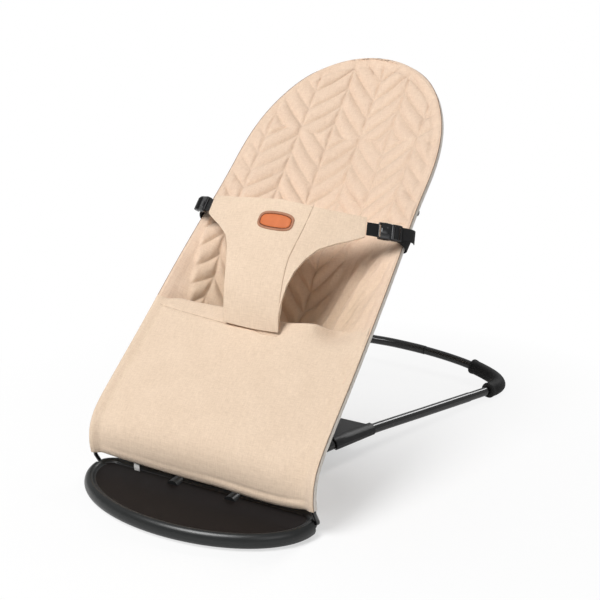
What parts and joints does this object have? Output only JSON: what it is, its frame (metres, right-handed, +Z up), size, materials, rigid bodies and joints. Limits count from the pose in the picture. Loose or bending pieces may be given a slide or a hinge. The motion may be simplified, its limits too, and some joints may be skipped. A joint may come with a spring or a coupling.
{
  "type": "baby bouncer",
  "caption": "Folding baby bouncer: a quilted cloth seat on a sprung wire loop over a low tube base, with a half-moon foot plate, a recline bow and a buckled restraint panel.",
  "frame": {"origin": "on the floor, under the middle of the whole bouncer's box", "axes": "+Z up, -Y towards the foot end and its plate, +Y towards the head end, +X to the right as seen from the foot end"},
  "size_m": [0.4844, 0.758, 0.5607],
  "materials": {
    "black_plastic": "satin black moulded plastic",
    "gloss_plastic": "smooth black acetal, slightly glossy",
    "black_steel": "satin black powder coat",
    "zinc_steel": "zinc plated",
    "rubber": "matt black",
    "grey_nylon": "plain dark grey nylon",
    "beige_cloth": "plain weave with a melange of beige threads",
    "quilted_cloth": "soft beige cloth quilted in a herringbone",
    "tan_leather": "tan leather with a stitched border",
    "white_tape": "plain white satin tape",
    "black_webbing": "black ribbed webbing"
  },
  "bodies": {
    "base": {"front_plate": "black_plastic", "grip_pad_left": "rubber", "grip_pad_middle": "rubber", "grip_pad_right": "rubber", "pivot_bush_left": "grey_nylon", "pivot_bush_right": "grey_nylon", "side_tube_left": "black_steel", "side_tube_right": "black_steel", "corner_tube_left": "black_steel", "corner_tube_right": "black_steel", "rear_bar": "black_steel", "rear_foot_left": "rubber", "rear_foot_right": "rubber", "recline_bridge": "black_plastic", "bow_bearing_left": "black_plastic", "bow_bearing_right": "black_plastic", "socket_screw_left": "zinc_steel", "socket_screw_right": "zinc_steel", "bearing_screw_left_front": "zinc_steel", "bearing_screw_left_rear": "zinc_steel", "bearing_screw_right_front": "zinc_steel", "bearing_screw_right_rear": "zinc_steel"},
    "bow": {"support_bow": "black_steel", "bow_glide_left": "grey_nylon", "bow_glide_right": "grey_nylon"},
    "seat": {"seat_rod_left": "black_steel", "seat_rod_right": "black_steel", "rod_ferrule": "zinc_steel", "edge_channel": "beige_cloth", "quilted_seat": "quilted_cloth", "front_panel": "beige_cloth", "restraint_panel": "beige_cloth", "leather_patch": "tan_leather", "care_label": "white_tape", "buckle_socket_left": "gloss_plastic", "buckle_socket_right": "gloss_plastic", "buckle_plug_left": "gloss_plastic", "buckle_plug_right": "gloss_plastic", "panel_strap_left": "black_webbing", "panel_strap_right": "black_webbing", "strap_tail_left": "black_webbing", "strap_tail_right": "black_webbing", "side_strap_left": "black_webbing", "side_strap_right": "black_webbing"},
    "prong_left_upper": {"buckle_prong_left_upper": "gloss_plastic"},
    "prong_left_lower": {"buckle_prong_left_lower": "gloss_plastic"},
    "prong_right_upper": {"buckle_prong_right_upper": "gloss_plastic"},
    "prong_right_lower": {"buckle_prong_right_lower": "gloss_plastic"}
  },
  "joints": [
    {"name": "seat_fold", "type": "hinge", "parent": "base", "child": "seat", "pos_m": [0, -0.255, 0.0125], "axis": [1, 0, 0], "range_deg": [-31, 0]},
    {"name": "bow_fold", "type": "hinge", "parent": "base", "child": "bow", "pos_m": [0, -0.018, 0.0405], "axis": [1, 0, 0], "range_deg": [-53, 0]},
    {"name": "left_upper_squeeze", "type": "slide", "parent": "seat", "child": "prong_left_upper", "axis": [-0.1627, -0.5217, -0.8375], "range_m": [0, 0.0022], "stiffness_N_per_m": 600},
    {"name": "left_lower_squeeze", "type": "slide", "parent": "seat", "child": "prong_left_lower", "axis": [0.1627, 0.5217, 0.8375], "range_m": [0, 0.0022], "stiffness_N_per_m": 600},
    {"name": "right_upper_squeeze", "type": "slide", "parent": "seat", "child": "prong_right_upper", "axis": [0.1627, -0.5217, -0.8375], "range_m": [0, 0.0022], "stiffness_N_per_m": 600},
    {"name": "right_lower_squeeze", "type": "slide", "parent": "seat", "child": "prong_right_lower", "axis": [-0.1627, 0.5217, 0.8375], "range_m": [0, 0.0022], "stiffness_N_per_m": 600}
  ],
  "couplings": [
    {"joint": "bow_fold", "follows": "seat_fold", "ratio": 1.71},
    {"joint": "left_lower_squeeze", "follows": "left_upper_squeeze", "ratio": 1},
    {"joint": "right_lower_squeeze", "follows": "right_upper_squeeze", "ratio": 1}
  ]
}
